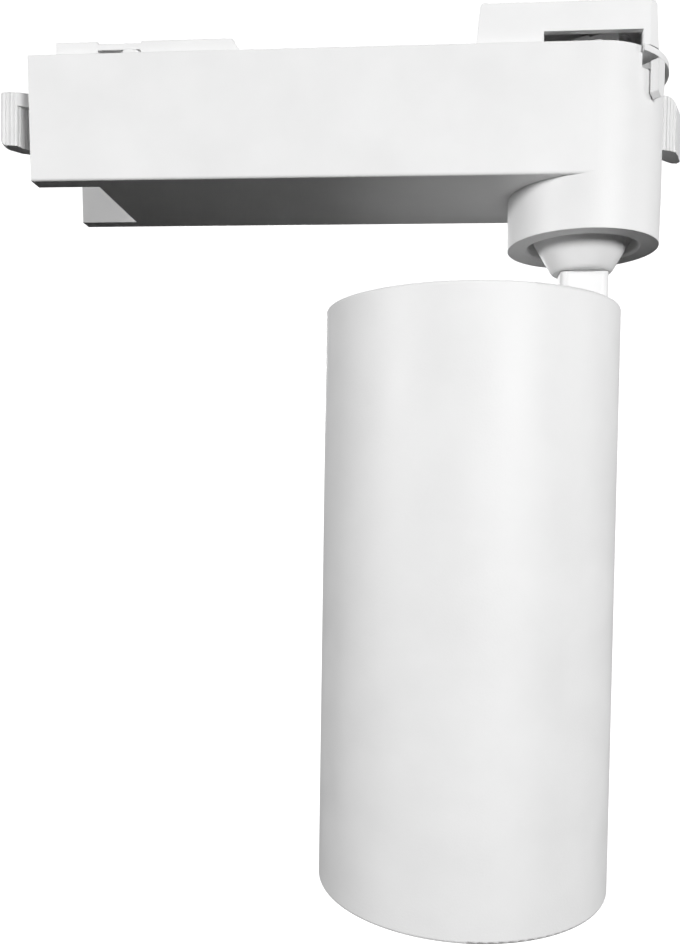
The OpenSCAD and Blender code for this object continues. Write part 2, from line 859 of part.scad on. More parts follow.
module hinge_washers() color(black) {
    for (side = [-1, 1]) {
        translate([arm_x, side * (ear_y[0] - 0.35), hinge_z]) rotate([90, 0, 0]) difference() {
            cylinder(r = 4.4, h = 0.7, center = true);
            cylinder(r = hinge_r + run_gap, h = 2, center = true);
        }
    }
}

module heatsink() color(aluminium) {
    fin_t = 1.8;
    fins = 9;
    pitch = 6.6;
    translate([lamp_x, 0, 0]) difference() {
        union() {
            translate([0, 0, sink_z]) cylinder(r = lamp_in_r - seam, h = sink_plate);
            intersection() {
                translate([0, 0, sink_z]) cylinder(r = lamp_in_r - 1.5, h = sink_h);
                for (i = [0 : fins - 1]) {
                    y = (i - (fins - 1) / 2) * pitch;
                    span([-lamp_r, y - fin_t / 2, sink_z], [lamp_r, y + fin_t / 2, sink_z + sink_h]);
                }
            }
        }
        translate([lead_hole.x, lead_hole.y, sink_z - past]) cylinder(r = 2.2, h = sink_h + 2 * past);
        for (x = holder_screw_x) {
            translate([x, 0, sink_z - past]) cylinder(r = 1, h = 5 + past);
        }
    }
}

module led_board() color([0.92, 0.92, 0.90]) {
    translate([lamp_x, 0, led_z + board_t / 2]) cube([24, 24, board_t], center = true);
}

module led_emitter() color([0.95, 0.85, 0.35]) {
    translate([lamp_x, 0, led_z - 0.5]) cylinder(r = 9, h = 0.5);
}

module led_holder() color(white) {
    translate([lamp_x, 0, holder_z]) difference() {
        cylinder(r = 24, h = holder_t);
        translate([0, 0, -past]) cylinder(r = 11.2, h = holder_t + 2 * past);
        translate([-12.1, -12.1, holder_t - 1.7]) cube([24.2, 24.2, 3]);
        for (x = holder_screw_x) {
            translate([x, 0, -past]) cylinder(r = 1.2, h = holder_t + 2 * past);
        }
        translate([lead_hole.x, lead_hole.y, -past]) cylinder(r = 1.9, h = holder_t + 2 * past);
    }
}

module holder_screws() color(steel) {
    for (x = holder_screw_x) {
        translate([lamp_x + x, 0, holder_z]) rotate([180, 0, 0]) screw(2.2, 1.2, 0.95, 7);
    }
}

module reflector() color(silver) {
    z_top = holder_z - seam;
    z_low = glass_z + glass_t + 0.1;
    depth = z_top - z_low;
    throat = 10.6;
    flare = 19;
    steps = 12;
    shell_t = 1.2;
    inner = [for (i = [0 : steps]) [throat + flare * sqrt(i / steps), z_top - depth * i / steps]];
    outer = [for (i = [steps : -1 : 0]) [inner[i].x + shell_t, inner[i].y]];
    translate([lamp_x, 0, 0]) rotate_extrude() polygon(concat(inner, outer));
}

module lens_glass() color([0.85, 0.92, 0.95, 0.4]) {
    translate([lamp_x, 0, glass_z]) cylinder(r = 32, h = glass_t);
}

module front_bezel() color(black) {
    translate([lamp_x, 0, 0]) {
        ring(lamp_in_r - seam, 29.5, bezel_z, glass_z - bezel_z);
    }
}

module led_leads() {
    colours = [[0.75, 0.12, 0.10], [0.10, 0.10, 0.10]];
    for (i = [0, 1]) {
        x = lamp_x + lead_hole.x;
        y = lead_hole.y + i * 1.6 - 0.8;
        color(colours[i]) wire([
            [x, y, sink_z + 1], [x, y, hinge_z - 14], [-24, y, hinge_z - 14], [-24, y, hinge_z + 2]
        ], lead_r);
    }
}

adapter_housing();
top_cover();
contact_head();
lever_shelf();
driver_pcb();
pcb_screws();
transformer_core();
transformer_winding();
electrolytic_capacitors();
film_capacitor();
emi_choke();
bridge_rectifier();
input_fuse();
input_terminal();
output_terminal();
input_wires();
output_wires();
circuit_pads();
left_lock_lever();
left_lock_spindle();
right_lock_lever();
right_lock_spindle();
contact_rotor();
contact_blades();
selector_ring();
selector_wiper();
swivel_bush();
friction_washer();
stop_washer();
spring_washer();
lock_nut();
swivel_cone();
lamp_arm();
arm_leads();
lamp_body();
rear_cap();
cap_screws();
hinge_bracket();
hinge_bolt();
hinge_nut();
hinge_washers();
heatsink();
led_board();
led_emitter();
led_holder();
holder_screws();
reflector();
lens_glass();
front_bezel();
led_leads();
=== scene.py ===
"""Looks of the track spotlight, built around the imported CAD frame.

Metres, +Z up towards the track, -X along the driver box, -Y is the front.
"""

import json
import math

import bmesh
import bpy
from mathutils import Matrix, Vector


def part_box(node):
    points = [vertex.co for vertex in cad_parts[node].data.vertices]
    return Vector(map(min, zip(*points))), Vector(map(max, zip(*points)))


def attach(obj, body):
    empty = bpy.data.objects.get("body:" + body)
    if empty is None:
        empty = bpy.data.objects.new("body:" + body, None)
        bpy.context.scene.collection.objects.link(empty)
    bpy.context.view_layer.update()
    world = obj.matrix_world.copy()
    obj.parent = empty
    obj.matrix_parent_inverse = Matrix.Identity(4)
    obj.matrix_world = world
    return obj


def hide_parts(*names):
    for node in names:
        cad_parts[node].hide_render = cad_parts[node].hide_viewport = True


MM = 0.001
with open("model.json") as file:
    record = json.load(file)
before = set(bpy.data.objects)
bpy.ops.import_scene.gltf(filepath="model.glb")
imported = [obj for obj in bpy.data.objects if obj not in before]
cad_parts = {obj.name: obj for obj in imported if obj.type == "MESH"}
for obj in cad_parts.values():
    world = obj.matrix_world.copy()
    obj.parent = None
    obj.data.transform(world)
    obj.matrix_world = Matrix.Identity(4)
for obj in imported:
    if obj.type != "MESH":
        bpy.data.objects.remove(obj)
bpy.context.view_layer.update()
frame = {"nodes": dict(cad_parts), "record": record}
NODES = frame["nodes"]
RECORD = frame["record"]
BODY_OF = {node: body for body, nodes in RECORD["behaviour"]["bodies"].items() for node in nodes}
SLOT_OF = {row["node"]: row["material_slot"] for row in RECORD["subparts"]}


# ---------------------------------------------------------------- stage, lights and camera

CAMERA_AT = Vector((-0.0365, -0.2197, -0.1018))
CAMERA_YAW = math.radians(4.693)
CAMERA_PITCH = math.radians(-1.841)
CAMERA_ROLL = math.radians(0.887)
CAMERA_LENS = 33.37
CAMERA_SENSOR = 36.0
CAMERA_SHIFT = (-0.0150, 0.0531)

LIGHT_SIZE = 0.2
# Place, target and power of each light. Their middles are above the driver box, so that little of
# their light falls on its underside.
LIGHTS = {
    "key": ((0.42, -0.80, 0.06), (-0.03, 0, -0.10), 5.6),
    "right_fill": ((0.85, -0.20, 0.07), (-0.03, 0, -0.09), 2.1),
    "left_fill": ((-0.80, -0.50, 0.07), (-0.03, 0, -0.12), 4.7),
    "back_fill": ((-0.25, 0.85, 0.07), (-0.03, 0, -0.09), 1.8),
}
# Height, from 0 at the lowest point of the surround to 1 at its highest, and the grey level there
WORLD_STOPS = ((0.0, 0.012), (0.47, 0.02), (0.57, 0.24), (1.0, 0.14))

FLOOR_Z = -0.75
FLOOR_GREY = (0.85, 0.85, 0.85, 1)
FLOOR_GLOW = 0.85
STUDIO_R = 1.0
STUDIO_TOP = 3.0
SWEEP_R = 0.35
SWEEP_STEPS = 12


def make_camera():
    """The photograph's view: turned a little to the left, tipped and rolled by a degree or two."""
    data = bpy.data.cameras.new("camera")
    data.lens = CAMERA_LENS
    data.sensor_width = CAMERA_SENSOR
    data.shift_x, data.shift_y = CAMERA_SHIFT
    data.clip_start = 0.01
    data.clip_end = 20.0
    data.dof.use_dof = False
    camera = bpy.data.objects.new("camera", data)
    bpy.context.scene.collection.objects.link(camera)
    turn = (
        Matrix.Rotation(CAMERA_YAW, 4, "Z")
        @ Matrix.Rotation(math.pi / 2, 4, "X")
        @ Matrix.Rotation(CAMERA_PITCH, 4, "X")
        @ Matrix.Rotation(CAMERA_ROLL, 4, "Z")
    )
    camera.matrix_world = Matrix.Translation(CAMERA_AT) @ turn
    bpy.context.scene.camera = camera


def area_light(name, place, target, power):
    """A round lamp that shines from place towards target and stays out of the picture."""
    data = bpy.data.lights.new(name, "AREA")
    data.shape = "DISK"
    data.size = LIGHT_SIZE
    data.energy = power
    light = bpy.data.objects.new(name, data)
    bpy.context.scene.collection.objects.link(light)
    light.location = place
    light.rotation_euler = (Vector(target) - Vector(place)).to_track_quat("-Z", "Y").to_euler()
    light.visible_camera = False


def make_lights():
    for name, (place, target, power) in LIGHTS.items():
        area_light(name, place, target, power)


def make_world():
    """Soft studio surround: brightest just above eye level, and nearly dark below it."""
    world = bpy.data.worlds.new("studio")
    bpy.context.scene.world = world
    world.use_nodes = True
    tree = world.node_tree
    tree.nodes.clear()
    place = tree.nodes.new("ShaderNodeTexCoord")
    split = tree.nodes.new("ShaderNodeSeparateXYZ")
    height = tree.nodes.new("ShaderNodeMapRange")
    height.inputs["From Min"].default_value = -1.0
    ramp = tree.nodes.new("ShaderNodeValToRGB")
    while len(ramp.color_ramp.elements) < len(WORLD_STOPS):
        ramp.color_ramp.elements.new(0.5)
    for element, (at, level) in zip(ramp.color_ramp.elements, WORLD_STOPS):
        element.position = at
        element.color = (level, level, level, 1.0)
    background = tree.nodes.new("ShaderNodeBackground")
    output = tree.nodes.new("ShaderNodeOutputWorld")
    tree.links.new(place.outputs["Generated"], split.inputs[0])
    tree.links.new(split.outputs["Z"], height.inputs["Value"])
    tree.links.new(height.outputs[0], ramp.inputs[0])
    tree.links.new(ramp.outputs[0], background.inputs["Color"])
    tree.links.new(background.outputs[0], output.inputs["Surface"])


def make_floor():
    """A pale floor that sweeps up into a round wall. It doesn't bounce light back onto the lamp."""
    profile = [(0.0, FLOOR_Z), (STUDIO_R - SWEEP_R, FLOOR_Z)]
    for i in range(1, SWEEP_STEPS + 1):
        a = math.pi / 2 * i / SWEEP_STEPS
        profile.append((
            STUDIO_R - SWEEP_R + SWEEP_R * math.sin(a),
            FLOOR_Z + SWEEP_R - SWEEP_R * math.cos(a),
        ))
    profile.append((STUDIO_R, STUDIO_TOP))
    floor = revolve("floor", profile, 96, (0, 0, 0))
    material, _, shader = shader_tree("floor_paper")
    shader.inputs["Base Color"].default_value = FLOOR_GREY
    shader.inputs["Roughness"].default_value = 0.9
    shader.inputs["Emission Color"].default_value = (1, 1, 1, 1)
    shader.inputs["Emission Strength"].default_value = FLOOR_GLOW
    floor.data.materials.append(material)
    floor.visible_diffuse = False
    floor.visible_glossy = False
    floor.visible_shadow = False


# ---------------------------------------------------------------- mesh helpers

def mm(*values):
    """A point given in millimetres."""
    return Vector(values) * MM


def mm_profile(pairs):
    """A revolved piece's (radius, height) pairs, given in millimetres."""
    return [(radius * MM, height * MM) for radius, height in pairs]


def finish_mesh(name, bm, smooth_angle=35):
    """Turns a bmesh into an object, smooth but for the edges sharper than the angle."""
    bmesh.ops.recalc_face_normals(bm, faces=bm.faces)
    mesh = bpy.data.meshes.new(name)
    bm.to_mesh(mesh)
    bm.free()
    for face in mesh.polygons:
        face.use_smooth = True
    mesh.set_sharp_from_angle(angle=math.radians(smooth_angle))
    piece = bpy.data.objects.new(name, mesh)
    bpy.context.scene.collection.objects.link(piece)
    return piece


def loft(bm, rings):
    """Joins each ring of points to the next with quads. All rings have as many points."""
    for low, high in zip(rings, rings[1:]):
        for i in range(len(low)):
            j = (i + 1) % len(low)
            bm.faces.new([low[i], low[j], high[j], high[i]])


def revolve(name, profile, steps, centre, smooth_angle=35):
    """A surface of revolution about the Z axis through centre, from (radius, height) pairs in metres."""
    bm = bmesh.new()
    angles = [2 * math.pi * i / steps for i in range(steps)]
    rings = []
    for r, z in profile:
        points = [(r * math.cos(a), r * math.sin(a), z) for a in angles] if r > 0 else [(0, 0, z)]
        rings.append([bm.verts.new(Vector(centre) + Vector(point)) for point in points])
    for low, high in zip(rings, rings[1:]):
        for i in range(steps):
            j = (i + 1) % steps
            # A ring on the axis is one point, so its quads shrink to triangles.
            corners = (low[i % len(low)], low[j % len(low)], high[j % len(high)], high[i % len(high)])
            unique = list(dict.fromkeys(corners))
            if len(unique) > 2:
                bm.faces.new(unique)
    return finish_mesh(name, bm, smooth_angle)


def rounded_path(points, radius, steps=6):
    """The points of a line through the given ones, with its corners rounded."""
    points = [Vector(p) for p in points]
    path = [points[0]]
    for before, corner, after in zip(points, points[1:], points[2:]):
        reach = min(radius, (before - corner).length / 2.1, (after - corner).length / 2.1)
        start = corner + (before - corner).normalized() * reach
        end = corner + (after - corner).normalized() * reach
        for i in range(steps + 1):
            t = i / steps
            path.append(start * (1 - t) ** 2 + corner * 2 * t * (1 - t) + end * t ** 2)
    path.append(points[-1])
    return path


def tube(name, path, radius, sides=12):
    """A round wire along a path, closed at both ends."""
    bm = bmesh.new()
    rings = []
    side = None
    for i, point in enumerate(path):
        ahead = (path[min(i + 1, len(path) - 1)] - path[max(i - 1, 0)]).normalized()
        if side is None:
            side = ahead.orthogonal().normalized()
        side = (side - ahead * side.dot(ahead)).normalized()
        up = ahead.cross(side)
        rings.append([
            bm.verts.new(point + (side * math.cos(a) + up * math.sin(a)) * radius)
            for a in (2 * math.pi * k / sides for k in range(sides))
        ])
    loft(bm, rings)
    bm.faces.new(rings[0])
    bm.faces.new(rings[-1])
    return finish_mesh(name, bm, 50)


# ---------------------------------------------------------------- materials

PAINT_IOR = 1.46
GLASS_IOR = 1.5
ROUGH_SPREAD = 0.05
SMEAR_SIZE = 8
SMEAR_ROUGH = (0.02, 0.05)
EDGE_SAMPLES = 6


def shader_tree(name):
    """A new material, its node tree and its main shader."""
    material = bpy.data.materials.new(name)
    material.use_nodes = True
    tree = material.node_tree
    return material, tree, tree.nodes["Principled BSDF"]


def noise(tree, coords, size, detail=2.0):
    """A noise texture whose features are about size metres across."""
    texture = tree.nodes.new("ShaderNodeTexNoise")
    texture.inputs["Scale"].default_value = 1 / size
    texture.inputs["Detail"].default_value = detail
    tree.links.new(coords, texture.inputs["Vector"])
    return texture.outputs["Fac"]


def spread(tree, value, low, high):
    """Maps a noise value, which lies mostly between 0.3 and 0.7, onto low to high."""
    node = tree.nodes.new("ShaderNodeMapRange")
    node.inputs["From Min"].default_value = 0.3
    node.inputs["From Max"].default_value = 0.7
    node.inputs["To Min"].default_value = low
    node.inputs["To Max"].default_value = high
    tree.links.new(value, node.inputs["Value"])
    return node.outputs[0]


def mix_colours(tree, factor, first, second):
    node = tree.nodes.new("ShaderNodeMix")
    node.data_type = "RGBA"
    node.inputs["A"].default_value = (*first, 1)
    node.inputs["B"].default_value = (*second, 1)
    tree.links.new(factor, node.inputs["Factor"])
    return node.outputs["Result"]


def add_bump(tree, height, depth, edge, shader):
    """Fine relief, and edges that shade as if they were rounded to the radius edge. Both are in metres."""
    bump = tree.nodes.new("ShaderNodeBump")
    if edge:
        rounded = tree.nodes.new("ShaderNodeBevel")
        rounded.samples = EDGE_SAMPLES
        rounded.inputs["Radius"].default_value = edge
        tree.links.new(rounded.outputs[0], bump.inputs["Normal"])
    bump.inputs["Strength"].default_value = 1.0
    bump.inputs["Distance"].default_value = depth
    tree.links.new(height, bump.inputs["Height"])
    tree.links.new(bump.outputs[0], shader.inputs["Normal"])


def surface(name, colour, rough, metal=0.0, grain=0.4, depth=0.004, patch=14, tint=0.02,
            stretch=(1, 1, 1), edge=0.0):
    """A moulded, painted or machined finish.

    In mm: grain is the size of the fine relief and depth its height, patch the size of the areas
    that differ a little in colour and gloss, and edge the radius that sharp edges seem to have.
    """
    material, tree, shader = shader_tree(name)
    place = tree.nodes.new("ShaderNodeTexCoord").outputs["Object"]
    mapping = tree.nodes.new("ShaderNodeMapping")
    mapping.inputs["Scale"].default_value = stretch
    tree.links.new(place, mapping.inputs["Vector"])
    fine = noise(tree, mapping.outputs[0], grain * MM)
    broad = noise(tree, place, patch * MM, 3.0)
    add_bump(tree, fine, depth * MM, edge * MM, shader)
    gloss = spread(tree, broad, rough - ROUGH_SPREAD, rough + ROUGH_SPREAD)
    tree.links.new(gloss, shader.inputs["Roughness"])
    darker = [c * (1 - tint) for c in colour]
    lighter = [min(1.0, c * (1 + tint)) for c in colour]
    shade = mix_colours(tree, spread(tree, broad, 0, 1), darker, lighter)
    tree.links.new(shade, shader.inputs["Base Color"])
    shader.inputs["Metallic"].default_value = metal
    shader.inputs["IOR"].default_value = PAINT_IOR
    return material


def glass_material(name, colour):
    """Clear glass with faint smears."""
    material, tree, shader = shader_tree(name)
    shader.inputs["Base Color"].default_value = (*colour, 1)
    shader.inputs["Transmission Weight"].default_value = 1.0
    shader.inputs["IOR"].default_value = GLASS_IOR
    place = tree.nodes.new("ShaderNodeTexCoord").outputs["Object"]
    smears = spread(tree, noise(tree, place, SMEAR_SIZE * MM), *SMEAR_ROUGH)
    tree.links.new(smears, shader.inputs["Roughness"])
    return material


# One finish for each material slot of the record
MATERIALS = {
    "housing_plastic": surface(
        "white_housing", (0.83, 0.83, 0.83), 0.5, grain=0.4, depth=0.016, edge=0.3),
    "lever_plastic": surface(
        "white_lever", (0.80, 0.80, 0.80), 0.42, grain=0.3, depth=0.004, edge=0.25),
    "contact_plastic": surface(
        "white_contact", (0.85, 0.85, 0.85), 0.40, grain=0.4, depth=0.003, edge=0.25),
    "lamp_paint": surface(
        "powder_coat", (0.84, 0.84, 0.84), 0.52, grain=0.5, depth=0.024, edge=0.3),
    "contact_metal": surface(
        "silver_strip", (0.82, 0.82, 0.83), 0.22, metal=1.0, grain=0.1, depth=0.001),
    "pcb": surface(
        "solder_mask", (0.02, 0.16, 0.06), 0.30, grain=1.5, depth=0.01, patch=3, tint=0.25),
    "steel": surface(
        "zinc_plated_steel", (0.62, 0.62, 0.64), 0.30, metal=1.0, grain=0.15, depth=0.002),
    "ferrite": surface("ferrite", (0.035, 0.035, 0.04), 0.55, grain=0.2, depth=0.01),
    "winding_tape": surface("yellow_tape", (0.72, 0.50, 0.06), 0.28, grain=1.0, depth=0.01),
    "capacitor_sleeve": surface("capacitor_sleeve", (0.02, 0.02, 0.03), 0.25, grain=0.8, depth=0.006),
    "film_box": surface("film_capacitor_case", (0.60, 0.38, 0.05), 0.35, grain=0.4, depth=0.004),
    "copper_wire": surface(
        "enamelled_copper", (0.56, 0.20, 0.07), 0.22, metal=1.0, grain=0.4, depth=0.002),
    "component_black": surface("black_epoxy", (0.02, 0.02, 0.02), 0.45, grain=0.3, depth=0.006),
    "terminal_green": surface("green_terminal", (0.05, 0.24, 0.08), 0.38, grain=0.4, depth=0.004),
    "wire_insulation": surface("wire_insulation", (0.20, 0.09, 0.04), 0.35, grain=0.5, depth=0.004),
    "brass": surface("brass", (0.72, 0.50, 0.20), 0.25, metal=1.0, grain=0.2, depth=0.002),
    "nylon_black": surface("black_nylon", (0.02, 0.02, 0.02), 0.40, grain=0.3, depth=0.004),
    "aluminium": surface(
        "aluminium", (0.76, 0.77, 0.78), 0.32, metal=1.0, grain=0.2, depth=0.003, stretch=(8, 1, 1)),
    "led_substrate": surface("ceramic_substrate", (0.80, 0.80, 0.78), 0.35, grain=0.3, depth=0.002),
    "phosphor": surface("phosphor", (0.85, 0.62, 0.06), 0.30, grain=0.5, depth=0.02),
    "mirror_metal": surface(
        "metallised", (0.90, 0.90, 0.91), 0.10, metal=1.0, grain=2.0, depth=0.004),
    "glass": glass_material("clear_glass", (0.96, 0.98, 0.98)),
    "bezel_black": surface(
        "matt_black_paint", (0.012, 0.012, 0.012), 0.65, grain=0.3, depth=0.01),
}


def dress(piece, material):
    piece.data.materials.clear()
    piece.data.materials.append(material)


def place_piece(piece, body, slot_name, *stands_for, material=None):
    """Gives a new piece its body and the finish of its slot, and hides the CAD nodes it stands for."""
    dress(piece, material or MATERIALS[slot_name])
    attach(piece, body)
    if stands_for:
        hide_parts(*stands_for)


def stand_in(piece, node, material=None):
    """Puts a new piece in a CAD node's place, on the same body and with the same slot's finish."""
    place_piece(piece, BODY_OF[node], SLOT_OF[node], node, material=material)


for node, piece in NODES.items():
    dress(piece, MATERIALS[SLOT_OF[node]])


# ---------------------------------------------------------------- inner pieces with rounded edges

# Radius of the outer edges, in mm
SOFT_EDGE = {
    "transformer_core": 0.4,
    "transformer_winding": 0.7,
    "film_capacitor": 0.4,
    "bridge_rectifier": 0.3,
    "input_terminal": 0.3,
    "output_terminal": 0.3,
    "lock_nut": 0.5,
    "hinge_nut": 0.4,
    "hinge_bracket": 0.3,
}
# Triangles that meet at less than this many degrees are one flat face.
FLAT_ANGLE = 0.5
# Edges sharper than this many degrees, and longer than this many radii, are rounded.
SHARP_ANGLE = 40
SHORT_EDGE = 3


def weigh_normals(piece):
    """Lets the large faces set the shading, so that flat walls look flat beside their rounded edges."""
    weighted = piece.modifiers.new("weighted_normals", "WEIGHTED_NORMAL")
    weighted.mode = "FACE_AREA"
    weighted.weight = 100
    weighted.keep_sharp = True


def soften(node, width):
    """Stands a copy of the node, with its sharp outer edges rounded, in the node's place."""
    bm = bmesh.new()
    bm.from_mesh(NODES[node].data)
    bmesh.ops.remove_doubles(bm, verts=bm.verts, dist=1e-6)
    bmesh.ops.dissolve_limit(
        bm, angle_limit=math.radians(FLAT_ANGLE), verts=bm.verts, edges=bm.edges,
        use_dissolve_boundaries=False,
    )
    sharp = [
        edge for edge in bm.edges
        if edge.is_manifold and edge.is_convex
        and edge.calc_face_angle() > math.radians(SHARP_ANGLE)
        and edge.calc_length() > SHORT_EDGE * width
    ]
    bmesh.ops.bevel(
        bm, geom=sharp, offset=width, offset_type="WIDTH", segments=2, profile=0.5,
        affect="EDGES", clamp_overlap=True,
    )
    bmesh.ops.remove_doubles(bm, verts=bm.verts, dist=1e-7)
    piece = finish_mesh(node + "_shell", bm, 30)
    weigh_normals(piece)
    stand_in(piece, node)


for node, width in SOFT_EDGE.items():
    soften(node, width * MM)


# ---------------------------------------------------------------- detailed pieces

def middle(node, axis):
    """The middle of a CAD node's box along an axis."""
    low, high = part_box(node)
    return (low[axis] + high[axis]) / 2


# The lamp's axis, in metres
LAMP_X = middle("lamp_body", 0)
# Heights of CAD nodes, in mm
PCB_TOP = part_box("driver_pcb")[1][2] / MM
STUB_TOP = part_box("lamp_arm")[1][2] / MM
HINGE_Z = middle("hinge_bolt", 2) / MM
SINK_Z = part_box("heatsink")[0][2] / MM
# Radius of each kind of lead, and of a lead's bends, in mm
WIRE_R = {"input_wires": 0.75, "output_wires": 0.7, "arm_leads": 0.6, "led_leads": 0.6}
WIRE_BEND = 3


def insulation(name, colour):
    return surface(name, colour, 0.35, grain=0.5, depth=0.003)


BROWN = insulation("insulation_brown", (0.16, 0.06, 0.02))
BLUE = insulation("insulation_blue", (0.04, 0.12, 0.45))
GREEN = insulation("insulation_green", (0.08, 0.34, 0.08))
RED = insulation("insulation_red", (0.55, 0.03, 0.02))
BLACK = insulation("insulation_black", (0.02, 0.02, 0.02))


def make_wires():
    """Every insulated lead, with bends where the CAD has corners. Places are in mm."""
    runs = []
    for i, material in enumerate((BROWN, BLUE, GREEN)):
        y = (i - 1) * 5
        near = (i - 1) * 2.2
        points = [(-91.5, y, PCB_TOP + 3), (-91.5, y, -5)]
        if i != 1:
            points.append((-22, y, -5))
        points += [(-22, near, -5), (-22, near, -8.5), (-15.2, near, -8.5)]
        runs.append(("input_wires", i, material, points))
    for i, material in enumerate((RED, BLACK)):
        y = i * 5 - 2.5
        runs.append(("output_wires", i, material, [
            (-27, y, PCB_TOP + 3), (-27, y, -10.8), (-10.5, y, -10.8), (-10.5, y, -20),
        ]))
        y = i * 1.8 - 0.9
        runs.append(("arm_leads", i, material, [
            (0, y, STUB_TOP), (0, y, HINGE_Z + 7.5), (-5, y, HINGE_Z + 7.5),
        ]))
        x = LAMP_X / MM - 22
        y = 3.3 + i * 1.6 - 0.8
        runs.append(("led_leads", i, material, [
            (x, y, SINK_Z + 1), (x, y, HINGE_Z - 14), (-24, y, HINGE_Z - 14), (-24, y, HINGE_Z + 2),
        ]))
    for node, i, material, points in runs:
        path = rounded_path([mm(*p) for p in points], WIRE_BEND * MM)
        stand_in(tube(f"{node}_{i}", path, WIRE_R[node] * MM), node, material)


SCREW_SIDES = 48
HEAD_STEPS = 8
RINGS_PER_PITCH = 6


def screw_head(radius, thick, angles):
    """Rings of points over a domed head with a cross recess, from its middle to its rim."""
    recess_half_w = radius * 0.13
    recess_reach = radius * 0.58
    recess_depth = thick * 0.55
    rings = []
    for k in range(HEAD_STEPS + 1):
        part = k / HEAD_STEPS
        r = radius * (math.sin(part * math.pi / 2) ** 0.8 if k else 0.02)
        dome_z = thick * (1 - 0.75 * part ** 3)
        ring = []
        for angle in angles:
            x, y = r * math.cos(angle), r * math.sin(angle)
            nearer, farther = sorted((abs(x), abs(y)))
            in_recess = nearer < recess_half_w and farther < recess_reach
            ring.append((x, y, dome_z - recess_depth if in_recess else dome_z))
        rings.append(ring)
    return rings


def screw_thread(radius, length, angles):
    """Rings of points down a threaded shank."""
    pitch = max(0.5, radius * 0.5)
    groove = 0.18
    steps = int(length / pitch * RINGS_PER_PITCH)
    rings = []
    for k in range(steps + 1):
        z = -length * k / steps
        ring = []
        for a, angle in enumerate(angles):
            phase = (z / pitch + a / SCREW_SIDES) % 1
            r = radius * (1 - groove * abs(2 * phase - 1))
            ring.append((r * math.cos(angle), r * math.sin(angle), z))
        rings.append(ring)
    return rings


def make_screw(name, node, seat, down, head_r, head_t, shank_r, shank_l):
    """A pan-head screw with its head's underside on seat, pointing down. Sizes are in mm."""
    angles = [2 * math.pi * a / SCREW_SIDES for a in range(SCREW_SIDES)]
    rim = [(head_r * math.cos(angle), head_r * math.sin(angle), 0) for angle in angles]
    rings = screw_head(head_r, head_t, angles) + [rim] + screw_thread(shank_r, shank_l, angles)
    turn = Vector((0, 0, -1)).rotation_difference(Vector(down)).to_matrix()
    bm = bmesh.new()
    made = [[bm.verts.new(Vector(seat) + turn @ mm(*point)) for point in ring] for ring in rings]
    loft(bm, made)
    bm.faces.new(made[0])
    bm.faces.new(made[-1])
    stand_in(finish_mesh(name, bm, 40), node)


def make_screws():
    """The board's, the rear cap's and the light source holder's screws."""
    head_t = 1.2
    for i, (x, y) in enumerate([(-93, -11), (-93, 11), (-24, -11), (-24, 11)]):
        make_screw(f"pcb_screw_{i}", "pcb_screws", mm(x, y, PCB_TOP), (0, 0, -1), 2, head_t, 0.85, 3)
    head_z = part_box("cap_screws")[1][2] - head_t * MM
    for i, y in enumerate((-4.5, 4.5)):
        seat = mm(-16, y, head_z / MM)
        make_screw(f"cap_screw_{i}", "cap_screws", seat, (0, 0, -1), 2.2, head_t, 1.25, 5)
    head_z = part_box("holder_screws")[0][2] + head_t * MM
    for i, x in enumerate((-19, 19)):
        seat = mm(LAMP_X / MM + x, 0, head_z / MM)
        make_screw(f"holder_screw_{i}", "holder_screws", seat, (0, 0, 1), 2.2, head_t, 0.95, 7)


def make_capacitors():
    """Sleeved cans with a crimp near the base and a bare scored top."""
    # Place on the board, radius and height of each can
    cans = ((-38, -6.5, 5, 15), (-38, 6, 4, 12.5), (-71.8, 8.5, 3, 11))
    for i, (x, y, r, h) in enumerate(cans):
        foot = mm(x, y, PCB_TOP)
        sleeve = mm_profile([
            (0, 0), (r * 0.9, 0), (r, 0.3), (r, 1.6), (r * 0.93, 2.0), (r * 0.93, 2.3), (r, 2.7),
            (r, h - 0.7), (r * 0.97, h - 0.25), (r * 0.88, h), (r * 0.80, h - 0.05), (r * 0.79, h - 0.3),
        ])
        can = revolve(f"capacitor_{i}", sleeve, 48, foot)
        stand_in(can, "electrolytic_capacitors", MATERIALS["capacitor_sleeve"])
        lid = mm_profile([
            (0, h - 0.12), (r * 0.2, h - 0.12), (r * 0.24, h - 0.22), (r * 0.28, h - 0.12),
            (r * 0.79, h - 0.12), (r * 0.79, h - 0.4),
        ])
        top = revolve(f"capacitor_top_{i}", lid, 48, foot)
        place_piece(top, BODY_OF["electrolytic_capacitors"], "steel")


def make_choke():
    """A ferrite ring with two windings, on a round base."""
    centre = mm(-81.5, 5.5, PCB_TOP)
    ring_r = 4
    turns = 13
    turn_steps = 16
    # Half of the gap between the windings, in degrees around the ring
    half_gap = 20
    base = revolve("choke_base", mm_profile([(0, 0), (5, 0), (5, 1.1), (4.7, 1.4), (0, 1.4)]), 48, centre)
    place_piece(base, "adapter", "component_black")
    section = []
    for k in range(25):
        a = 2 * math.pi * k / 24
        section.append((ring_r + 1.45 * math.cos(a), 2.9 + 1.3 * math.sin(a)))
    core = revolve("choke_core", mm_profile(section), 64, centre)
    place_piece(core, "adapter", "ferrite")
    for half in (0, 1):
        path = []
        for k in range(turns * turn_steps + 1):
            t = k / (turns * turn_steps)
            around = math.radians(half * 180 + half_gap + (180 - 2 * half_gap) * t)
            coil = 2 * math.pi * turns * t
            radius = ring_r + 1.7 * math.cos(coil)
            height = 2.95 + 1.55 * math.sin(coil)
            path.append(centre + mm(radius * math.cos(around), radius * math.sin(around), height))
        winding = tube(f"choke_winding_{half}", path, 0.24 * MM, 8)
        place_piece(winding, "adapter", "copper_wire", "emi_choke")


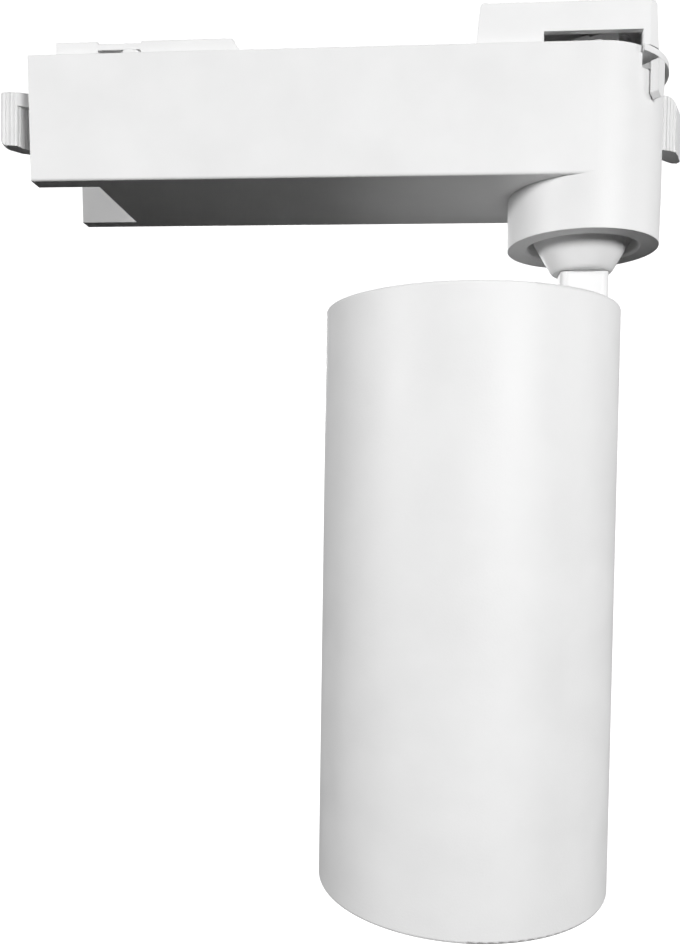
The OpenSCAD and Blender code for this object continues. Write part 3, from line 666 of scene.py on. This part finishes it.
def make_emitter():
    """The chip-on-board light source: a phosphor disc inside a white dam."""
    centre = Vector((LAMP_X, 0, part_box("led_emitter")[1][2]))
    disc = mm_profile([(0, -0.42), (4, -0.40), (7.4, -0.30), (8.1, -0.22), (8.1, 0)])
    phosphor = revolve("led_phosphor", disc, 64, centre)
    place_piece(phosphor, "lamp", "phosphor", "led_emitter")
    dam = mm_profile([
        (8.05, 0), (8.05, -0.3), (8.25, -0.46), (8.55, -0.5), (8.85, -0.4), (9, -0.15), (9, 0),
    ])
    place_piece(revolve("led_dam", dam, 64, centre), "lamp", "led_substrate")


def make_reflector():
    """The reflector's faceted mirror, a parabola with its throat upwards."""
    low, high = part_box("reflector")
    depth = high[2] - low[2]
    throat_r = 10.6
    flare = 19
    wall = 1.2
    facets = 48
    steps = 12
    inner = []
    for k in range(steps + 1):
        part = k / steps
        inner.append(((throat_r + flare * math.sqrt(part)) * MM, high[2] - depth * part))
    outer = [(radius + wall * MM, z) for radius, z in reversed(inner)]
    profile = inner + outer + inner[:1]
    # A smooth angle of 1 degree leaves every facet flat.
    mirror = revolve("reflector_facets", profile, facets, (LAMP_X, 0, 0), 1)
    place_piece(mirror, "lamp", "mirror_metal", "reflector")


def make_bezel():
    """The bezel's ring, with fine steps on its inner face against glare."""
    low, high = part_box("front_bezel")
    outer = (high[0] - low[0]) / 2
    height = high[2] - low[2]
    bore = 29.5 * MM
    groove = 29.9 * MM
    steps = 5
    profile = [(outer, low[2]), (bore, low[2])]
    for k in range(steps):
        z = low[2] + height * (k + 0.15) / steps
        profile += [(bore, z), (groove, z + height * 0.1 / steps), (groove, z + height * 0.7 / steps)]
    profile += [(bore, high[2]), (outer, high[2]), (outer, low[2])]
    ring = revolve("front_bezel_steps", profile, 96, (LAMP_X, 0, 0), 20)
    place_piece(ring, "lamp", "bezel_black", "front_bezel")


def make_cone():
    """The swivel cone, with its shoulder and its lower edge rounded. Sizes are in mm."""
    low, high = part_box("swivel_cone")
    top, foot = high[2] / MM, low[2] / MM
    bore_r = 4.95
    cone_r = 11.6
    shoulder = -39.2
    profile = mm_profile([
        (bore_r, top), (cone_r - 0.2, top), (cone_r, top - 0.2),
        (cone_r, shoulder + 0.3), (cone_r - 0.05, shoulder),
        (7.6, foot + 0.9), (7.4, foot + 0.6), (7.1, foot + 0.25), (6.7, foot),
        (bore_r, foot), (bore_r, top),
    ])
    stand_in(revolve("swivel_cone_smooth", profile, 128, (0, 0, 0), 25), "swivel_cone")


def make_solder_joints():
    """Domes of solder by the terminals and along the edges of the driver board. Sizes are in mm."""
    dome_r, dome_h = 0.8, 0.45
    sides = 12
    angles = [2 * math.pi * q / sides for q in range(sides)]
    spots = [(-86.9, y) for y in (-5, 0, 5)] + [(-31.6, y) for y in (-2.5, 2.5)]
    spots += [(x, y) for x in (-70, -46) for y in (-11.4, 11.4)]
    spots += [(-45.5 + 2.4 * i, -12.4) for i in range(6)]
    spots += [(-60 + 3 * i, 11.6) for i in range(5)]
    bm = bmesh.new()
    for x, y in spots:
        rings = []
        for k in range(4):
            radius = dome_r * math.cos(k * math.pi / 7)
            z = PCB_TOP + dome_h * math.sin(k * math.pi / 7)
            rings.append([
                bm.verts.new(mm(x + radius * math.cos(a), y + radius * math.sin(a), z)) for a in angles
            ])
        loft(bm, rings)
        bm.faces.new(rings[-1])
    place_piece(finish_mesh("solder_joints", bm, 60), "adapter", "steel")


def make_surface_parts():
    """Two rows of small surface-mounted parts of two sizes on the driver board. Sizes are in mm."""
    large, small = (0.8, 0.4, 0.28), (0.5, 0.6, 0.22)
    # Corners are numbered 4 for high x, plus 2 for high y, plus 1 for high z.
    sides = ((0, 1, 3, 2), (4, 6, 7, 5), (0, 4, 5, 1), (2, 3, 7, 6), (0, 2, 6, 4), (1, 5, 7, 3))
    bm = bmesh.new()
    for i in range(7):
        for j, (x, y) in enumerate([(-46 + 2.6 * i, 12.3), (-67 + 3.1 * i, -11.2)]):
            half = large if (i + j) % 2 else small
            z = PCB_TOP + half[2]
            corners = [
                bm.verts.new(mm(x + sx * half[0], y + sy * half[1], z + sz * half[2]))
                for sx in (-1, 1) for sy in (-1, 1) for sz in (-1, 1)
            ]
            for side in sides:
                bm.faces.new([corners[q] for q in side])
    place_piece(finish_mesh("surface_parts", bm, 30), "adapter", "component_black")


make_wires()
make_screws()
make_capacitors()
make_choke()
make_emitter()
make_reflector()
make_bezel()
make_cone()
make_solder_joints()
make_surface_parts()


# ---------------------------------------------------------------- finish

make_camera()
make_world()
make_lights()
make_floor()
bpy.context.scene.view_settings.view_transform = "Standard"
